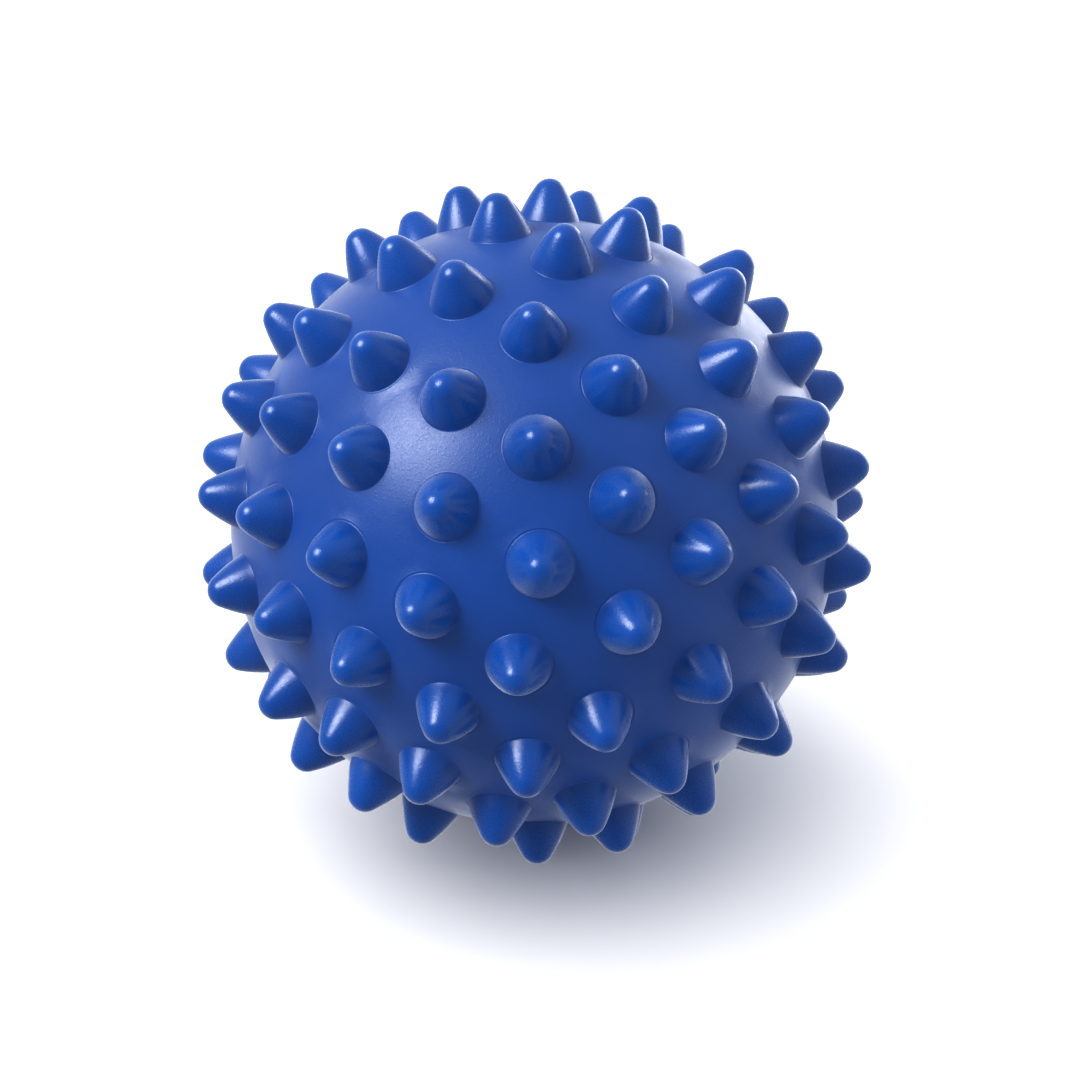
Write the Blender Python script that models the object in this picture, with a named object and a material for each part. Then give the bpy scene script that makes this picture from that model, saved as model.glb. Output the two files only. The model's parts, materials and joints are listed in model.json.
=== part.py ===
"""Hollow spiked massage ball with a pull-out air plug, standing on three of its spikes."""

from math import asin, atan2, cos, pi, radians, sin, sqrt

import bmesh
import bpy
from mathutils import Euler, Matrix, Vector

# Ball and spikes, in metres
BALL_DIAMETER = 0.0796
WALL = 0.0026
SPIKE_HEIGHT = 0.0052
SPIKE_BASE_DIAMETER = 0.0080
SPIKE_NOSE_RADIUS = 0.0020
SPIKE_FLANK_RADIUS = 0.0200

# Rows of spikes, in degrees: angle from the pole of the first spike, growth of that angle from spike to spike,
# turn of the first spike, turn between spikes, and number.
# Rings lie round the pole and opposite it. Between them each side of the ball has rows of its own.
SPIKE_ROWS = (
    (8.0, 0.0, 108.0, 0.0, 1),
    (16.8, 0.0, 186.0, 72.0, 4),
    (23.3, 15.2, 143.0, -9.0, 2),
    (33.6, 0.0, 175.0, 36.0, 9),
    (46.8, 0.9, 161.0, 23.2, 7),
    (53.8, 0.0, 332.0, 21.1, 9),
    (66.2, 0.3, 162.5, 18.0, 9),
    (71.4, 0.2, 337.0, 17.7, 10),
    (85.2, -0.2, 160.5, 17.1, 11),
    (93.2, 0.0, 347.0, 16.8, 10),
    (100.8, 0.0, 164.0, 19.0, 10),
    (110.0, 0.0, 346.0, 17.2, 10),
    (117.6, 0.0, 164.0, 20.8, 9),
    (130.5, 0.0, 338.0, 22.4, 8),
    (133.3, 0.0, 169.5, 24.0, 7),
    (145.8, 0.0, 341.0, 30.4, 6),
    (152.2, -1.2, 184.5, 32.7, 5),
    (168.0, 0.0, 57.0, 90.0, 4),
)

# The valve takes the place of one spike: its row and its place along the row
VALVE_ROW = 4
VALVE_PLACE = 8

# How the ball lies, in degrees: turn round the pole, lean of the pole from upright and heading of the lean
BALL_TURN = -11.3
POLE_LEAN = 44.2
POLE_HEADING = 40.1

# Valve plug, from its stem outwards, in metres
STEM_DIAMETER = 0.0040
STEM_TAPER = 0.0003
STEM_REACH = 0.0010
STEM_CHAMFER = 0.0005
HEAD_OVERHANG = 0.0013
HEAD_THICKNESS = 0.0012
HEAD_BEVEL = 0.0002

# Valve seat round the plug, and the boss of the skin round the seat, in metres
SEAT_RIM = 0.0009
FLANGE_WIDTH = 0.0020
FLANGE_THICKNESS = 0.0016
BOSS_WALL = 0.0024
BOSS_DEPTH = 0.0066
FIT_CLEARANCE = 0.0003

# Facets, and the turn of surface that counts as an edge, in degrees
SHARP_TURN = 40.0
SPIKE_SIDES = 10
VALVE_SIDES = 32
FLANK_SHARE = 0.5
NOSE_SHARE = 0.5
OUTER_SPREAD = 800
INNER_SPREAD = 320
BARE_MARGIN = 3.5

# Colour and roughness of each plastic
SKIN_LOOK = ((0.008, 0.050, 0.300), 0.38)
SEAT_LOOK = ((0.006, 0.030, 0.160), 0.55)
PLUG_LOOK = ((0.010, 0.060, 0.330), 0.32)

# Sizes that follow from those above
BALL_RADIUS = BALL_DIAMETER / 2
INNER_RADIUS = BALL_RADIUS - WALL
TIP_RADIUS = BALL_RADIUS + SPIKE_HEIGHT
SPIKE_BASE_RADIUS = SPIKE_BASE_DIAMETER / 2
STEM_RADIUS = STEM_DIAMETER / 2
HEAD_RADIUS = STEM_RADIUS + HEAD_OVERHANG
SEAT_BORE_RADIUS = STEM_RADIUS + FIT_CLEARANCE
POCKET_RADIUS = HEAD_RADIUS + FIT_CLEARANCE
SEAT_RADIUS = POCKET_RADIUS + SEAT_RIM
FLANGE_RADIUS = SEAT_RADIUS + FLANGE_WIDTH
BORE_RADIUS = SEAT_RADIUS + FIT_CLEARANCE
BOSS_RADIUS = BORE_RADIUS + BOSS_WALL


def height_on(ball_radius, radius):
    """Height above the ball's centre of a circle that lies on a ball."""
    return sqrt(ball_radius ** 2 - radius ** 2)


VALVE_TOP = height_on(BALL_RADIUS, BORE_RADIUS)
POCKET_FLOOR = VALVE_TOP - HEAD_THICKNESS - FIT_CLEARANCE
BOSS_END = VALVE_TOP - BOSS_DEPTH
FLANGE_TOP = BOSS_END - FIT_CLEARANCE
FLANGE_END = FLANGE_TOP - FLANGE_THICKNESS
STEM_END = FLANGE_END - STEM_REACH


def clear_scene():
    for thing in list(bpy.data.objects):
        bpy.data.objects.remove(thing, do_unlink=True)


def soft_plastic(name, colour, roughness):
    made = bpy.data.materials.new(name)
    made.use_nodes = True
    shader = made.node_tree.nodes["Principled BSDF"]
    shader.inputs["Base Color"].default_value = (*colour, 1.0)
    shader.inputs["Roughness"].default_value = roughness
    shader.inputs["Metallic"].default_value = 0.0
    return made


def add_piece(name, bm, material, carrier, height=0.0):
    """Turn a finished mesh into a piece that the ball's attitude carries, its origin on the valve's axis."""
    bmesh.ops.recalc_face_normals(bm, faces=bm.faces)
    mesh = bpy.data.meshes.new(name)
    bm.to_mesh(mesh)
    bm.free()
    mesh.materials.append(material)
    mesh.shade_smooth()
    mesh.set_sharp_from_angle(angle=radians(SHARP_TURN))
    piece = bpy.data.objects.new(name, mesh)
    bpy.context.collection.objects.link(piece)
    piece.parent = carrier
    piece.location = (0.0, 0.0, height)
    return piece


def row_axes():
    """Directions of all places for spikes, row by row, with the pole at the top."""
    rows = []
    for angle, growth, first, step, count in SPIKE_ROWS:
        polars = [radians(angle + growth * place) for place in range(count)]
        turns = [radians(first + step * place) for place in range(count)]
        rows.append([Vector((sin(p) * cos(t), sin(p) * sin(t), cos(p))) for p, t in zip(polars, turns)])
    return rows


def pole_to_valve():
    """Turn that brings the valve's place to the top."""
    valve = row_axes()[VALVE_ROW - 1][VALVE_PLACE - 1]
    return valve.rotation_difference(Vector((0, 0, 1))).to_matrix()


def spike_axes():
    """Directions of the spikes, with the valve at the top."""
    rows = row_axes()
    del rows[VALVE_ROW - 1][VALVE_PLACE - 1]
    turn = pole_to_valve()
    return [turn @ axis for row in rows for axis in row]


def circle(axis, radius, height, sides):
    """Points of a circle round an axis through the ball's centre."""
    turn = Vector((0, 0, 1)).rotation_difference(axis)
    angles = [2 * pi * side / sides for side in range(sides)]
    return [turn @ Vector((radius * cos(a), radius * sin(a), height)) for a in angles]


def spread(count, ball_radius, kept_clear):
    """Points along a spiral over a ball, outside the cones kept clear round some axes."""
    step = pi * (3 - sqrt(5))
    points = []
    for place in range(count):
        height = 1 - (2 * place + 1) / count
        reach = sqrt(1 - height ** 2)
        point = Vector((reach * cos(step * place), reach * sin(step * place), height))
        if all(point.angle(axis) > angle for axis, angle in kept_clear):
            points.append(point * ball_radius)
    return points


def round_hull(bm, circles, loose):
    """Faceted ball through circles of points and loose points. Each circle becomes one flat face."""
    rings = [[bm.verts.new(point) for point in points] for points in circles]
    loose_verts = [bm.verts.new(point) for point in loose]
    bmesh.ops.convex_hull(bm, input=[vert for ring in rings for vert in ring] + loose_verts)
    discs = []
    for ring in rings:
        around = {face for vert in ring for face in vert.link_faces}
        flat = [face for face in around if set(ring).issuperset(face.verts)]
        bmesh.ops.delete(bm, geom=flat, context="FACES_KEEP_BOUNDARY")
        discs.append(bm.faces.new(ring))
    return discs


def grow(bm, face, axis, profile):
    """Extrude a round face step by step along its axis, through circles of given radius and height."""
    for radius, height in profile:
        face = bmesh.ops.extrude_discrete_faces(bm, faces=[face])["faces"][0]
        for vert, point in zip(face.verts, circle(axis, radius, height, len(face.verts))):
            vert.co = point
    return face


def flank_centre(nose, base):
    """Centre of the flank's arc, which passes through the base circle and touches the round nose."""
    line = nose - base
    reach = SPIKE_FLANK_RADIUS - SPIKE_NOSE_RADIUS
    along = (SPIKE_FLANK_RADIUS ** 2 + line.length ** 2 - reach ** 2) / (2 * line.length)
    across = sqrt(SPIKE_FLANK_RADIUS ** 2 - along ** 2)
    inwards = Vector((-line.y, line.x))
    return base + (line * along + inwards * across) / line.length


def on_circle(centre, radius, angle):
    return centre + Vector((cos(angle), sin(angle))) * radius


def spike_profile():
    """Two steps up the arched flank from the base circle, then one step over the round nose."""
    nose = Vector((0.0, TIP_RADIUS - SPIKE_NOSE_RADIUS))
    base = Vector((SPIKE_BASE_RADIUS, height_on(BALL_RADIUS, SPIKE_BASE_RADIUS)))
    middle = flank_centre(nose, base)
    low = atan2(base.y - middle.y, base.x - middle.x)
    high = atan2(nose.y - middle.y, nose.x - middle.x)
    halfway = low + (high - low) * FLANK_SHARE
    over = high + (pi / 2 - high) * NOSE_SHARE
    flank = [on_circle(middle, SPIKE_FLANK_RADIUS, angle) for angle in (halfway, high)]
    return flank + [on_circle(nose, SPIKE_NOSE_RADIUS, over)]


def raise_spike(bm, disc, axis, profile):
    crown = grow(bm, disc, axis, profile)
    bmesh.ops.poke(bm, faces=[crown])["verts"][0].co = axis * TIP_RADIUS


def open_valve_hole(bm, mouth, inside):
    """Bore from the outer surface down through a boss that stands on the inner surface."""
    axis = Vector((0, 0, 1))
    end = grow(bm, mouth, axis, ((BORE_RADIUS, BOSS_END), (BOSS_RADIUS, BOSS_END)))
    edges = list(end.edges) + list(inside.edges)
    bmesh.ops.delete(bm, geom=[end, inside], context="FACES_ONLY")
    bmesh.ops.bridge_loops(bm, edges=edges)


def ball_skin():
    valve = Vector((0, 0, 1))
    axes = spike_axes()
    margin = radians(BARE_MARGIN)
    spike_zone = asin(SPIKE_BASE_RADIUS / BALL_RADIUS) + margin
    outer_clear = [(axis, spike_zone) for axis in axes]
    outer_clear.append((valve, asin(BORE_RADIUS / BALL_RADIUS) + margin))
    base_height = height_on(BALL_RADIUS, SPIKE_BASE_RADIUS)
    circles = [circle(axis, SPIKE_BASE_RADIUS, base_height, SPIKE_SIDES) for axis in axes]
    circles.append(circle(valve, BORE_RADIUS, VALVE_TOP, VALVE_SIDES))
    bm = bmesh.new()
    discs = round_hull(bm, circles, spread(OUTER_SPREAD, BALL_RADIUS, outer_clear))
    mouth = discs.pop()
    profile = spike_profile()
    for disc, axis in zip(discs, axes):
        raise_spike(bm, disc, axis, profile)
    boss_circle = circle(valve, BOSS_RADIUS, height_on(INNER_RADIUS, BOSS_RADIUS), VALVE_SIDES)
    inner_clear = [(valve, asin(BOSS_RADIUS / INNER_RADIUS) + margin)]
    inside = round_hull(bm, [boss_circle], spread(INNER_SPREAD, INNER_RADIUS, inner_clear))[0]
    open_valve_hole(bm, mouth, inside)
    return bm


def turned(profile, closed):
    """Revolve a profile of radius and height. An open one gets a flat face at each end."""
    bm = bmesh.new()
    verts = [bm.verts.new((radius, 0, height)) for radius, height in profile]
    ends = list(zip(verts, verts[1:]))
    if closed:
        ends.append((verts[-1], verts[0]))
    edges = [bm.edges.new(pair) for pair in ends]
    bmesh.ops.spin(
        bm, geom=verts + edges, axis=(0, 0, 1), cent=(0, 0, 0),
        steps=VALVE_SIDES, angle=2 * pi, use_merge=True,
    )
    bmesh.ops.holes_fill(bm, edges=[edge for edge in bm.edges if edge.is_boundary])
    return bm


def seat_profile():
    return (
        (SEAT_RADIUS, VALVE_TOP),
        (SEAT_RADIUS, FLANGE_TOP),
        (FLANGE_RADIUS, FLANGE_TOP),
        (FLANGE_RADIUS, FLANGE_END),
        (SEAT_BORE_RADIUS, FLANGE_END),
        (SEAT_BORE_RADIUS, POCKET_FLOOR),
        (POCKET_RADIUS, POCKET_FLOOR),
        (POCKET_RADIUS, VALVE_TOP),
    )


def plug_profile():
    """Head with a bevelled rim and a tapered stem. Heights are from the top of the head."""
    foot = STEM_END - VALVE_TOP
    tip_radius = STEM_RADIUS - STEM_TAPER
    return (
        (HEAD_RADIUS - HEAD_BEVEL, 0.0),
        (HEAD_RADIUS, -HEAD_BEVEL),
        (HEAD_RADIUS, -HEAD_THICKNESS),
        (STEM_RADIUS, -HEAD_THICKNESS),
        (tip_radius, foot + STEM_CHAMFER),
        (tip_radius - STEM_CHAMFER, foot),
    )


def resting_turn(tips):
    """Turn of the ball that leans the pole over and sets the three lowest tips level."""
    about_pole = Matrix.Rotation(radians(BALL_TURN), 3, "Z")
    lean = Euler((0.0, radians(POLE_LEAN), radians(POLE_HEADING))).to_matrix()
    lean = lean @ about_pole @ pole_to_valve().inverted()
    bm = bmesh.new()
    bmesh.ops.convex_hull(bm, input=[bm.verts.new(lean @ tip) for tip in tips])
    bm.normal_update()
    foot = min(bm.faces, key=lambda face: face.normal.z)
    level = foot.normal.rotation_difference(Vector((0, 0, -1))).to_matrix()
    bm.free()
    return level @ lean


def add_attitude(skin):
    """Empty at the ball's centre, turned as the ball lies and raised until its lowest point is at zero."""
    turn = resting_turn([axis * TIP_RADIUS for axis in spike_axes()])
    lowest = min((turn @ vert.co).z for vert in skin.verts)
    attitude = bpy.data.objects.new("ball_attitude", None)
    bpy.context.collection.objects.link(attitude)
    attitude.rotation_euler = turn.to_euler()
    attitude.location = (0.0, 0.0, -lowest)
    return attitude


def build():
    clear_scene()
    skin_blue = soft_plastic("skin_pvc", *SKIN_LOOK)
    seat_blue = soft_plastic("seat_rubber", *SEAT_LOOK)
    plug_blue = soft_plastic("plug_pvc", *PLUG_LOOK)
    skin = ball_skin()
    attitude = add_attitude(skin)
    add_piece("ball_skin", skin, skin_blue, attitude)
    add_piece("valve_seat", turned(seat_profile(), closed=True), seat_blue, attitude)
    add_piece("valve_plug", turned(plug_profile(), closed=False), plug_blue, attitude, VALVE_TOP)


build()
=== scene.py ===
"""Studio picture of a spiked massage ball, with its air plug and seat, on a pale floor."""

import json
from math import asin, atan2, cos, pi, radians, sin, sqrt

import bmesh
import bpy
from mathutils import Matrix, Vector


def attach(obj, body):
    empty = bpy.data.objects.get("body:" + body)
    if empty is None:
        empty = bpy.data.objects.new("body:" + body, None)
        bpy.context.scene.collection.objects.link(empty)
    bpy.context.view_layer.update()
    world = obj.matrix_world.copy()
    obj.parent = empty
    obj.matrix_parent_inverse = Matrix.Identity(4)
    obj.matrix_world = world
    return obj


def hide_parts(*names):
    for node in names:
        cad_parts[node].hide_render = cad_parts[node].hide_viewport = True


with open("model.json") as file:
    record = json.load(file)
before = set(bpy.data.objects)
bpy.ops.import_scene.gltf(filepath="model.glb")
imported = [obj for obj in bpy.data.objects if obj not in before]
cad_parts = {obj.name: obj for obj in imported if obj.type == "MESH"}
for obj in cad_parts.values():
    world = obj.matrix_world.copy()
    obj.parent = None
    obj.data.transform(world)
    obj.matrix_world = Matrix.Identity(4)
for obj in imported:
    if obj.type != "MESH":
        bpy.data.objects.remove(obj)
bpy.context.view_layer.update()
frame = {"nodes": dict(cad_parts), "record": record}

# Skin and spikes, in metres. The slack finds the solid's tips, and the inset keeps the new tips in its box
BALL_RADIUS = 0.0398
WALL = 0.0026
TIP_RADIUS = 0.0450
TIP_SLACK = 0.00004
TIP_INSET = 0.00006
SPIKE_BASE_RADIUS = 0.0040
SPIKE_NOSE_RADIUS = 0.0022
FLANK_RADIUS = 0.020
FILLET_REACH = 0.00012

# Decimals that tell one spike's direction from another's
AXIS_DECIMALS = 4

# Thin broken bead of flash round the foot of each spike, in metres
BEAD_OFFSET = 0.00030
BEAD_WIDTH = 0.00022
BEAD_HEIGHT = 0.00005

# Height of the bead round its spike: steady share, share that waves, and number of waves
BEAD_STEADY = 0.7
BEAD_WAVE = 0.3
BEAD_WAVES = 3

# Valve, in metres: radii, then depths below the rim of its hole
BORE_RADIUS = 0.0048
BOSS_RADIUS = 0.0072
SEAT_RADIUS = 0.0045
FLANGE_RADIUS = 0.0065
POCKET_RADIUS = 0.0036
SEAT_BORE_RADIUS = 0.0023
HEAD_RADIUS = 0.0033
STEM_RADIUS = 0.0020
STEM_END_RADIUS = 0.0017
HEAD_THICKNESS = 0.0012
POCKET_DEPTH = 0.0015
BOSS_DEPTH = 0.0066
FLANGE_DEPTH = 0.0069
SEAT_DEPTH = 0.0085
STEM_DEPTH = 0.0095
LIP_REACH = 0.0003
EDGE_REACH = 0.0002
MERGE_REACH = EDGE_REACH / 100

# Facets: counts round and along each form, points on each ball, bare band round a foot, and turn of an edge
SPIKE_SIDES = 32
FILLET_STEPS = 3
BEAD_STEPS = 4
FLANK_STEPS = 6
NOSE_STEPS = 7
VALVE_SIDES = 96
OUTER_SPREAD = 9000
INNER_SPREAD = 1500
BARE_MARGIN = radians(1.2)
SHARP_TURN = radians(40)
SPIRAL_TURN = pi * (3 - sqrt(5))

# Camera as in the photograph: lengths in metres, lens and sensor in millimetres
CAMERA_DISTANCE = 0.3184
CAMERA_ELEVATION = radians(25.9)
CAMERA_LENS = 80.3
CAMERA_SENSOR = 36.0
CAMERA_CLIP = 0.01
AIM_RIGHT = 0.00077
AIM_DOWN = 0.00251

# Key light: side that it stands on, distance and size in metres, and power
KEY_SIDE = (-0.64, -0.30, 0.70)
KEY_DISTANCE = 2.0
KEY_SIZE = 1.1
KEY_POWER = 50.0

# Rim light: side that it stands on, distance and size in metres, and power
RIM_SIDE = (0.72, 0.92, 0.05)
RIM_DISTANCE = 1.5
RIM_SIZE = 1.0
RIM_POWER = 8.0

# Domes of soft light on the ball and on the floor: side that each comes from, strength and width
FILL_SIDE = (-0.15, -0.32, 0.93)
FILL_STRENGTH = 1.4
FILL_SPREAD = radians(150)
WASH_SIDE = (-0.66, -0.36, 0.66)
WASH_STRENGTH = 3.0
WASH_SPREAD = radians(110)
DOME_DISTANCE = 3.0

# Tones of the picture: exposure in stops, and a gamma below 1 for contrast
EXPOSURE = 0.35
CONTRAST_GAMMA = 0.78

# Glow of the surround towards each side
LEFT_GLOW = 0.5
RIGHT_GLOW = 1.0
FRONT_GLOW = 0.2
BACK_GLOW = 0.9
TOP_GLOW = 0.8
BOTTOM_GLOW = 0.4
SURROUND_COLOUR = (0.95, 0.975, 1.04)

# Bright backdrop behind the ball, as the camera sees it: glow, and power that narrows it
BACKDROP_SIDE = (0.0, 0.90, -0.44)
BACKDROP_GLOW = 0.8
BACKDROP_POWER = 8.0

# Skin: tones of body and spikes, roughness of both and its swing, share of a spike that blends, and gloss
BODY_TONES = ((0.0018, 0.039, 0.178), (0.0024, 0.045, 0.200))
SPIKE_TONES = ((0.0010, 0.046, 0.202), (0.0014, 0.052, 0.226))
BODY_ROUGHNESS = 0.37
SPIKE_ROUGHNESS = 0.28
ROUGHNESS_SWING = 0.05
SPIKE_BLEND = 0.35
PVC_GLOSS = 0.42
SHEEN_WEIGHT = 0.35
SHEEN_ROUGHNESS = 0.35

# Skin texture: scale and detail of each noise, the band of it that counts, and depth of the grain in metres
CLOUD_NOISE = (70, 3)
CLOUD_BAND = (0.35, 0.65)
SPECK_NOISE = (4200, 2)
SPECK_BAND = (0.3, 0.7)
PIT_NOISE = (2800, 1)
PIT_BAND = (0.58, 0.74)
SKIN_GRAIN = 0.000008

# Seat and plug: tones, range of roughness, noise of the tones and of the grain, and grain depth in metres
SEAT_TONES = ((0.0040, 0.022, 0.120), (0.0060, 0.030, 0.160))
SEAT_ROUGHNESS = (0.48, 0.60)
SEAT_CLOUD = (300, 3)
SEAT_NOISE = (5200, 2)
SEAT_GRAIN = 0.00002
PLUG_TONES = ((0.0014, 0.044, 0.196), (0.0020, 0.052, 0.222))
PLUG_ROUGHNESS = (0.28, 0.38)
PLUG_CLOUD = (250, 3)
PLUG_NOISE = (4200, 2)
PLUG_GRAIN = 0.00001

# Floor: reach from its middle in metres, squares along a side, tones and their noise, roughness and gloss
FLOOR_REACH = 3.0
FLOOR_SQUARES = 8
FLOOR_TONES = ((0.90, 0.89, 0.872), (0.92, 0.91, 0.892))
FLOOR_NOISE = (6, 2)
FLOOR_ROUGHNESS = 0.9
FLOOR_GLOSS = 0.1

# Places of the colour sockets of a mix node
MIX_FIRST = 6
MIX_SECOND = 7
MIX_RESULT = 2


def height_on(ball_radius, radius):
    return sqrt(ball_radius ** 2 - radius ** 2)


VALVE_TOP = height_on(BALL_RADIUS, BORE_RADIUS)
BOSS_END = VALVE_TOP - BOSS_DEPTH
INNER_RADIUS = BALL_RADIUS - WALL


def valve_place():
    """Centre of the ball and axis of the valve, from the flat face of the plug."""
    face = next(mount for mount in frame["record"]["mounts"] if mount["name"] == "plug_face")
    axis = Vector(face["axis"]).normalized()
    return Vector(face["pos_m"]) - axis * VALVE_TOP, axis


def spike_axes(centre):
    """Directions of the spike tips of the skin's solid."""
    found = {}
    for vert in frame["nodes"]["ball_skin"].data.vertices:
        arm = vert.co - centre
        if arm.length > TIP_RADIUS - TIP_SLACK:
            found[tuple(round(part, AXIS_DECIMALS) for part in arm.normalized())] = arm.normalized()
    return [found[key] for key in sorted(found)]


def circle(axis, radius, height, sides):
    turn = Vector((0, 0, 1)).rotation_difference(axis)
    angles = [2 * pi * side / sides for side in range(sides)]
    return [turn @ Vector((radius * cos(a), radius * sin(a), height)) for a in angles]


def spread(count, ball_radius, kept_clear):
    """Points along a spiral over a ball, outside the cones kept clear round some axes."""
    limits = [(axis, cos(angle)) for axis, angle in kept_clear]
    points = []
    for place in range(count):
        height = 1 - (2 * place + 1) / count
        reach = sqrt(1 - height ** 2)
        turn = SPIRAL_TURN * place
        point = Vector((reach * cos(turn), reach * sin(turn), height))
        if all(point.dot(axis) < limit for axis, limit in limits):
            points.append(point * ball_radius)
    return points


def round_hull(bm, circles, loose):
    """Faceted ball through circles and loose points, open inside the circles. Returns the circles' points."""
    rings = [[bm.verts.new(point) for point in points] for points in circles]
    loose_verts = [bm.verts.new(point) for point in loose]
    bmesh.ops.convex_hull(bm, input=[vert for ring in rings for vert in ring] + loose_verts)
    for ring in rings:
        around = {face for vert in ring for face in vert.link_faces}
        flat = [face for face in around if set(ring).issuperset(face.verts)]
        bmesh.ops.delete(bm, geom=flat, context="FACES_KEEP_BOUNDARY")
    return rings


def eased(before, corner, after, reach, steps):
    """Points that round a corner between two straight runs."""
    start = corner + (before - corner).normalized() * reach
    end = corner + (after - corner).normalized() * reach
    shares = [step / steps for step in range(steps + 1)]
    return [start * (1 - t) ** 2 + corner * 2 * t * (1 - t) + end * t ** 2 for t in shares]


def arc(middle, radius, start, end, steps):
    angles = [start + (end - start) * step / steps for step in range(steps + 1)]
    return [middle + Vector((cos(a), sin(a))) * radius for a in angles]


def spike_profile():
    """Radius and height of a spike: fillet at its foot, arched flank that runs into the round nose."""
    nose = Vector((0.0, TIP_RADIUS - TIP_INSET - SPIKE_NOSE_RADIUS))
    foot = Vector((SPIKE_BASE_RADIUS, height_on(BALL_RADIUS, SPIKE_BASE_RADIUS)))
    line = foot - nose
    far = FLANK_RADIUS - SPIKE_NOSE_RADIUS
    along = (line.length ** 2 + far ** 2 - FLANK_RADIUS ** 2) / (2 * line.length)
    across = sqrt(far ** 2 - along ** 2)
    middle = nose + (line * along + Vector((line.y, -line.x)) * across) / line.length
    low = atan2(foot.y - middle.y, foot.x - middle.x)
    high = atan2(nose.y - middle.y, nose.x - middle.x)
    flank = arc(middle, FLANK_RADIUS, low, high, FLANK_STEPS)
    body = Vector((foot.x + FILLET_REACH, height_on(BALL_RADIUS, foot.x + FILLET_REACH)))
    fillet = eased(body, foot, flank[1], FILLET_REACH, FILLET_STEPS)
    return fillet + flank[1:] + arc(nose, SPIKE_NOSE_RADIUS, high, pi / 2, NOSE_STEPS)[1:-1]


def bead_profile():
    """Radius, height and share of the bead's height from its outer edge to its inner edge."""
    outer = SPIKE_BASE_RADIUS + BEAD_OFFSET + BEAD_WIDTH / 2
    shares = [step / BEAD_STEPS for step in range(BEAD_STEPS + 1)]
    radii = [outer - BEAD_WIDTH * share for share in shares]
    return [(radius, height_on(BALL_RADIUS, radius), sin(pi * share)) for radius, share in zip(radii, shares)]


def strip(bm, ring, points):
    """Band of faces from a ring to new points beside it. Returns the new ring."""
    made = [bm.verts.new(point) for point in points]
    for side in range(len(ring)):
        after = (side + 1) % len(ring)
        bm.faces.new((ring[side], ring[after], made[after], made[side]))
    return made


def bead_left(side, phase):
    """How much of the bead stands at one side of a spike: it fades out over part of the turn."""
    angle = 2 * pi * side / SPIKE_SIDES + phase
    return max(0.0, sin(angle) * (BEAD_STEADY + BEAD_WAVE * sin(BEAD_WAVES * angle + phase)))


def raise_bead(bm, ring, axis, phase):
    for radius, height, share in bead_profile()[1:]:
        points = circle(axis, radius, height, SPIKE_SIDES)
        lifts = [axis * (BEAD_HEIGHT * share * bead_left(side, phase)) for side in range(SPIKE_SIDES)]
        ring = strip(bm, ring, [point + lift for point, lift in zip(points, lifts)])
    return ring


def raise_spike(bm, ring, axis, profile, layer):
    """Spike on its foot ring. The layer holds how far up the spike each point is."""
    foot = profile[0].y
    for radius, height in profile:
        ring = strip(bm, ring, circle(axis, radius, height, SPIKE_SIDES))
        for vert in ring:
            vert[layer] = (height - foot) / (TIP_RADIUS - foot)
    tip = bm.verts.new(axis * (TIP_RADIUS - TIP_INSET))
    tip[layer] = 1.0
    for side in range(SPIKE_SIDES):
        bm.faces.new((ring[side], ring[(side + 1) % SPIKE_SIDES], tip))


def open_bore(bm, mouth, inside, valve):
    """Rounded lip and bore of the valve, through the boss to the inner surface."""
    top = Vector((BORE_RADIUS + LIP_REACH, height_on(BALL_RADIUS, BORE_RADIUS + LIP_REACH)))
    rim = Vector((BORE_RADIUS, VALVE_TOP))
    end = Vector((BORE_RADIUS, BOSS_END))
    profile = eased(top, rim, end, LIP_REACH, FILLET_STEPS)[1:] + [end, Vector((BOSS_RADIUS, BOSS_END))]
    ring = mouth
    for radius, height in profile:
        ring = strip(bm, ring, circle(valve, radius, height, VALVE_SIDES))
    for side in range(VALVE_SIDES):
        after = (side + 1) % VALVE_SIDES
        bm.faces.new((ring[side], ring[after], inside[after], inside[side]))


def skin_mesh(axes, valve):
    foot_radius = bead_profile()[0][0]
    mouth_radius = BORE_RADIUS + LIP_REACH
    spike_zone = asin(foot_radius / BALL_RADIUS) + BARE_MARGIN
    kept_clear = [(axis, spike_zone) for axis in axes]
    kept_clear.append((valve, asin(mouth_radius / BALL_RADIUS) + BARE_MARGIN))
    foot_height = height_on(BALL_RADIUS, foot_radius)
    circles = [circle(axis, foot_radius, foot_height, SPIKE_SIDES) for axis in axes]
    circles.append(circle(valve, mouth_radius, height_on(BALL_RADIUS, mouth_radius), VALVE_SIDES))
    bm = bmesh.new()
    layer = bm.verts.layers.float.new("rise")
    rings = round_hull(bm, circles, spread(OUTER_SPREAD, BALL_RADIUS, kept_clear))
    mouth = rings.pop()
    profile = spike_profile()
    for place, (ring, axis) in enumerate(zip(rings, axes)):
        raise_spike(bm, raise_bead(bm, ring, axis, place), axis, profile, layer)
    boss = circle(valve, BOSS_RADIUS, height_on(INNER_RADIUS, BOSS_RADIUS), VALVE_SIDES)
    inner_clear = [(valve, asin(BOSS_RADIUS / INNER_RADIUS) + BARE_MARGIN)]
    inside = round_hull(bm, [boss], spread(INNER_SPREAD, INNER_RADIUS, inner_clear))[0]
    open_bore(bm, mouth, inside, valve)
    bmesh.ops.recalc_face_normals(bm, faces=bm.faces)
    return bm


def rounded(corners, steps):
    """Profile with its inner corners rounded. The first and last points stay."""
    points = [corners[0]]
    for before, corner, after in zip(corners, corners[1:], corners[2:]):
        points += eased(before, corner, after, EDGE_REACH, steps)
    return points + [corners[-1]]


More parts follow.
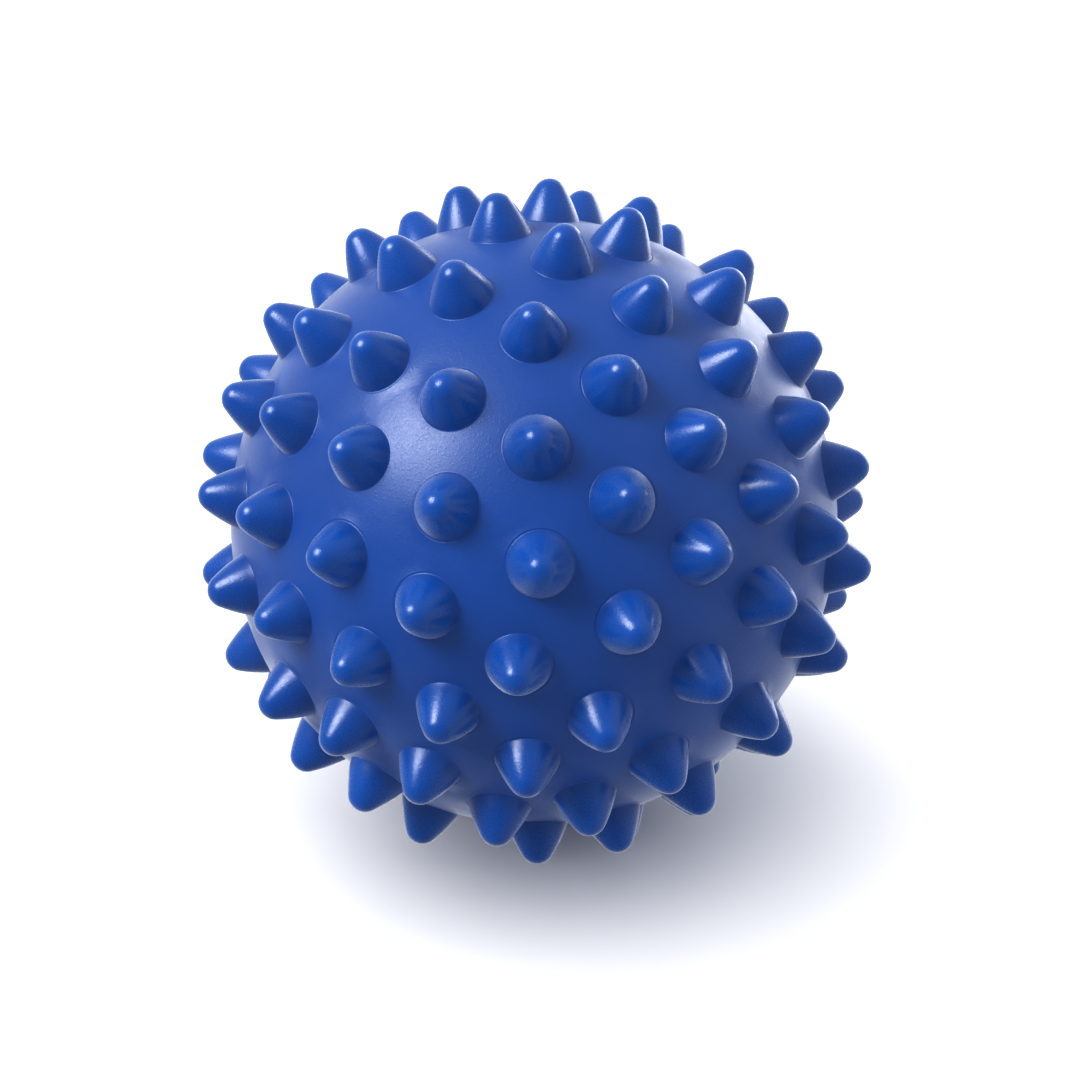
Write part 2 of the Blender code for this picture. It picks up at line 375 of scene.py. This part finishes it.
def turned(corners, axis):
    """Solid of revolution round the valve's axis, from radii and depths below the valve's rim."""
    bm = bmesh.new()
    profile = rounded([Vector((radius, VALVE_TOP - depth)) for radius, depth in corners], FILLET_STEPS)
    ring = [bm.verts.new(point) for point in circle(axis, *profile[0], VALVE_SIDES)]
    first = ring
    for radius, height in profile[1:]:
        ring = strip(bm, ring, circle(axis, radius, height, VALVE_SIDES))
    if corners[0] == corners[-1]:
        bmesh.ops.remove_doubles(bm, verts=first + ring, dist=MERGE_REACH)
    else:
        bm.faces.new(first)
        bm.faces.new(ring)
    bmesh.ops.recalc_face_normals(bm, faces=bm.faces)
    return bm


def seat_corners():
    """Section of the seat, from halfway down its outer side round to the same point."""
    start = (SEAT_RADIUS, FLANGE_DEPTH / 2)
    outer = [start, (SEAT_RADIUS, FLANGE_DEPTH), (FLANGE_RADIUS, FLANGE_DEPTH), (FLANGE_RADIUS, SEAT_DEPTH)]
    inner = [(SEAT_BORE_RADIUS, SEAT_DEPTH), (SEAT_BORE_RADIUS, POCKET_DEPTH), (POCKET_RADIUS, POCKET_DEPTH)]
    return outer + inner + [(POCKET_RADIUS, 0.0), (SEAT_RADIUS, 0.0), start]


def plug_corners():
    """Section of the plug, from the flat of its head to the end of its tapered stem."""
    head = [(HEAD_RADIUS / 2, 0.0), (HEAD_RADIUS, 0.0), (HEAD_RADIUS, HEAD_THICKNESS)]
    stem = [(STEM_RADIUS, HEAD_THICKNESS), (STEM_END_RADIUS, STEM_DEPTH), (STEM_END_RADIUS / 2, STEM_DEPTH)]
    return head + stem


def add_piece(name, bm, centre, material):
    bmesh.ops.translate(bm, verts=bm.verts, vec=centre)
    mesh = bpy.data.meshes.new(name)
    bm.to_mesh(mesh)
    bm.free()
    mesh.materials.append(material)
    mesh.shade_smooth()
    mesh.set_sharp_from_angle(angle=SHARP_TURN)
    piece = bpy.data.objects.new(name, mesh)
    bpy.context.collection.objects.link(piece)
    return piece


class Look:
    """Node material with helpers to add and join nodes."""

    def __init__(self, name):
        self.material = bpy.data.materials.new(name)
        self.material.use_nodes = True
        self.tree = self.material.node_tree
        self.shader = self.tree.nodes["Principled BSDF"]
        self.place = self.add("ShaderNodeTexCoord").outputs["Object"]

    def add(self, kind):
        return self.tree.nodes.new(kind)

    def join(self, source, target):
        self.tree.links.new(source, target)

    def noise(self, scale, detail):
        made = self.add("ShaderNodeTexNoise")
        made.inputs["Scale"].default_value = scale
        made.inputs["Detail"].default_value = detail
        self.join(self.place, made.inputs["Vector"])
        return made.outputs["Fac"]

    def mapped(self, source, low, high, start=0.0, end=1.0):
        made = self.add("ShaderNodeMapRange")
        made.inputs["From Min"].default_value = start
        made.inputs["From Max"].default_value = end
        made.inputs["To Min"].default_value = low
        made.inputs["To Max"].default_value = high
        self.join(source, made.inputs["Value"])
        return made.outputs["Result"]

    def colours(self, share, first, second):
        made = self.add("ShaderNodeMix")
        made.data_type = "RGBA"
        self.join(share, made.inputs["Factor"])
        for socket, value in ((made.inputs[MIX_FIRST], first), (made.inputs[MIX_SECOND], second)):
            if isinstance(value, tuple):
                socket.default_value = (*value, 1.0)
            else:
                self.join(value, socket)
        return made.outputs[MIX_RESULT]

    def sum_of(self, first, second):
        made = self.add("ShaderNodeMath")
        self.join(first, made.inputs[0])
        self.join(second, made.inputs[1])
        return made.outputs["Value"]

    def grain(self, height, depth):
        made = self.add("ShaderNodeBump")
        made.inputs["Strength"].default_value = 1.0
        made.inputs["Distance"].default_value = depth
        self.join(height, made.inputs["Height"])
        self.join(made.outputs["Normal"], self.shader.inputs["Normal"])

    def set(self, socket, value):
        if isinstance(value, (int, float)):
            self.shader.inputs[socket].default_value = value
        else:
            self.join(value, self.shader.inputs[socket])


def skin_look():
    look = Look("skin_pvc")
    rise = look.add("ShaderNodeAttribute")
    rise.attribute_name = "rise"
    spike = look.mapped(rise.outputs["Fac"], 0.0, 1.0, 0.0, SPIKE_BLEND)
    cloud = look.mapped(look.noise(*CLOUD_NOISE), 0.0, 1.0, *CLOUD_BAND)
    body = look.colours(cloud, *BODY_TONES)
    cone = look.colours(cloud, *SPIKE_TONES)
    look.set("Base Color", look.colours(spike, body, cone))
    speck = look.noise(*SPECK_NOISE)
    fine = look.mapped(speck, -ROUGHNESS_SWING, ROUGHNESS_SWING, *SPECK_BAND)
    look.set("Roughness", look.sum_of(look.mapped(spike, BODY_ROUGHNESS, SPIKE_ROUGHNESS), fine))
    look.set("Specular IOR Level", PVC_GLOSS)
    look.set("Sheen Weight", SHEEN_WEIGHT)
    look.set("Sheen Roughness", SHEEN_ROUGHNESS)
    pits = look.mapped(look.noise(*PIT_NOISE), 0.0, 1.0, *PIT_BAND)
    look.grain(look.sum_of(speck, pits), SKIN_GRAIN)
    return look.material


def seat_look():
    look = Look("seat_rubber")
    cloud = look.noise(*SEAT_CLOUD)
    look.set("Base Color", look.colours(cloud, *SEAT_TONES))
    look.set("Roughness", look.mapped(cloud, *SEAT_ROUGHNESS))
    look.grain(look.noise(*SEAT_NOISE), SEAT_GRAIN)
    return look.material


def plug_look():
    look = Look("plug_pvc")
    cloud = look.noise(*PLUG_CLOUD)
    look.set("Base Color", look.colours(cloud, *PLUG_TONES))
    look.set("Roughness", look.mapped(cloud, *PLUG_ROUGHNESS))
    look.set("Specular IOR Level", PVC_GLOSS)
    look.grain(look.noise(*PLUG_NOISE), PLUG_GRAIN)
    return look.material


def floor_look():
    look = Look("pale_floor")
    look.set("Base Color", look.colours(look.noise(*FLOOR_NOISE), *FLOOR_TONES))
    look.set("Roughness", FLOOR_ROUGHNESS)
    look.set("Specular IOR Level", FLOOR_GLOSS)
    return look.material


def add_floor():
    bm = bmesh.new()
    bmesh.ops.create_grid(bm, x_segments=FLOOR_SQUARES, y_segments=FLOOR_SQUARES, size=FLOOR_REACH)
    mesh = bpy.data.meshes.new("floor")
    bm.to_mesh(mesh)
    bm.free()
    mesh.materials.append(floor_look())
    floor = bpy.data.objects.new("floor", mesh)
    bpy.context.collection.objects.link(floor)
    floor.visible_glossy = False
    return floor


def looking(thing, target):
    thing.rotation_euler = (target - thing.location).to_track_quat("-Z", "Y").to_euler()


def soft_box(name, size, power):
    light = bpy.data.lights.new(name, "AREA")
    light.shape = "DISK"
    light.size = size
    light.energy = power
    return light


def dome(name, strength, spread_angle):
    light = bpy.data.lights.new(name, "SUN")
    light.energy = strength
    light.angle = spread_angle
    return light


def add_lamp(light, side, distance, target, lit):
    """Lamp on one side of the ball, screened off from all but the objects that it lights."""
    lamp = bpy.data.objects.new(light.name, light)
    lamp.location = target + Vector(side).normalized() * distance
    bpy.context.collection.objects.link(lamp)
    looking(lamp, target)
    receivers = bpy.data.collections.new("lit_by_" + light.name)
    for thing in lit:
        receivers.objects.link(thing)
    lamp.light_linking.receiver_collection = receivers
    return lamp


def add_lamps(target, pieces, floor):
    """Key above to the left and in front, rim low to the right and behind, a dome on the ball that casts no
    gloss, and a dome on the floor.
    """
    add_lamp(soft_box("key", KEY_SIZE, KEY_POWER), KEY_SIDE, KEY_DISTANCE, target, pieces)
    add_lamp(soft_box("rim", RIM_SIZE, RIM_POWER), RIM_SIDE, RIM_DISTANCE, target, pieces)
    fill = add_lamp(dome("fill", FILL_STRENGTH, FILL_SPREAD), FILL_SIDE, DOME_DISTANCE, target, pieces)
    fill.visible_glossy = False
    add_lamp(dome("wash", WASH_STRENGTH, WASH_SPREAD), WASH_SIDE, DOME_DISTANCE, target, [floor])


def side_glow(tree, facing, operation, glows):
    """Glow of three sides: the part of the direction towards each side, squared, times its glow."""
    side = tree.nodes.new("ShaderNodeVectorMath")
    side.operation = operation
    square = tree.nodes.new("ShaderNodeVectorMath")
    square.operation = "MULTIPLY"
    total = tree.nodes.new("ShaderNodeVectorMath")
    total.operation = "DOT_PRODUCT"
    total.inputs[1].default_value = glows
    tree.links.new(facing, side.inputs[0])
    for socket in square.inputs[:2]:
        tree.links.new(side.outputs["Vector"], socket)
    tree.links.new(square.outputs["Vector"], total.inputs[0])
    return total.outputs["Value"]


def backdrop_glow(tree, facing):
    """Glow of the backdrop: the part of the direction towards it, raised to a power."""
    towards = tree.nodes.new("ShaderNodeVectorMath")
    towards.operation = "DOT_PRODUCT"
    towards.inputs[1].default_value = Vector(BACKDROP_SIDE).normalized()
    tree.links.new(facing, towards.inputs[0])
    front = tree.nodes.new("ShaderNodeMath")
    front.operation = "MAXIMUM"
    front.inputs[1].default_value = 0.0
    tree.links.new(towards.outputs["Value"], front.inputs[0])
    narrow = tree.nodes.new("ShaderNodeMath")
    narrow.operation = "POWER"
    narrow.inputs[1].default_value = BACKDROP_POWER
    tree.links.new(front.outputs["Value"], narrow.inputs[0])
    glow = tree.nodes.new("ShaderNodeMath")
    glow.operation = "MULTIPLY"
    glow.inputs[1].default_value = BACKDROP_GLOW
    tree.links.new(narrow.outputs["Value"], glow.inputs[0])
    return glow.outputs["Value"]


def add_surround():
    """Soft white surround with a glow of its own towards each side, and a backdrop."""
    world = bpy.data.worlds.new("studio")
    world.use_nodes = True
    tree = world.node_tree
    facing = tree.nodes.new("ShaderNodeTexCoord").outputs["Generated"]
    glow = tree.nodes.new("ShaderNodeMath")
    tree.links.new(side_glow(tree, facing, "MAXIMUM", (RIGHT_GLOW, BACK_GLOW, TOP_GLOW)), glow.inputs[0])
    tree.links.new(side_glow(tree, facing, "MINIMUM", (LEFT_GLOW, FRONT_GLOW, BOTTOM_GLOW)), glow.inputs[1])
    total = tree.nodes.new("ShaderNodeMath")
    tree.links.new(glow.outputs["Value"], total.inputs[0])
    tree.links.new(backdrop_glow(tree, facing), total.inputs[1])
    tree.links.new(total.outputs["Value"], tree.nodes["Background"].inputs["Strength"])
    tree.nodes["Background"].inputs["Color"].default_value = (*SURROUND_COLOUR, 1.0)
    bpy.context.scene.world = world


def add_camera(centre):
    camera = bpy.data.cameras.new("camera")
    camera.sensor_width = CAMERA_SENSOR
    camera.lens = CAMERA_LENS
    camera.clip_start = CAMERA_CLIP
    eye = bpy.data.objects.new("camera", camera)
    up = Vector((0, sin(CAMERA_ELEVATION), cos(CAMERA_ELEVATION)))
    back = Vector((0, -cos(CAMERA_ELEVATION), sin(CAMERA_ELEVATION)))
    eye.location = centre + back * CAMERA_DISTANCE
    bpy.context.collection.objects.link(eye)
    looking(eye, centre + Vector((AIM_RIGHT, 0, 0)) - up * AIM_DOWN)
    bpy.context.scene.camera = eye


def place_piece(name, bm, centre, material, body, node):
    """Piece that stands for a solid of the frame and moves with its body."""
    piece = add_piece(name, bm, centre, material)
    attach(piece, body)
    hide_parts(node)
    return piece


def set_tones():
    """Plain colours with the contrast of a finished product picture."""
    settings = bpy.context.scene.view_settings
    settings.view_transform = "Standard"
    settings.exposure = EXPOSURE
    settings.gamma = CONTRAST_GAMMA


def add_ball(centre, valve):
    skin = skin_mesh(spike_axes(centre), valve)
    seat = turned(seat_corners(), valve)
    plug = turned(plug_corners(), valve)
    return [
        place_piece("skin", skin, centre, skin_look(), "ball", "ball_skin"),
        place_piece("seat", seat, centre, seat_look(), "ball", "valve_seat"),
        place_piece("plug", plug, centre, plug_look(), "plug", "valve_plug"),
    ]


ball_centre, valve_axis = valve_place()
ball_pieces = add_ball(ball_centre, valve_axis)
pale_floor = add_floor()
add_lamps(ball_centre, ball_pieces, pale_floor)
add_surround()
add_camera(ball_centre)
set_tones()
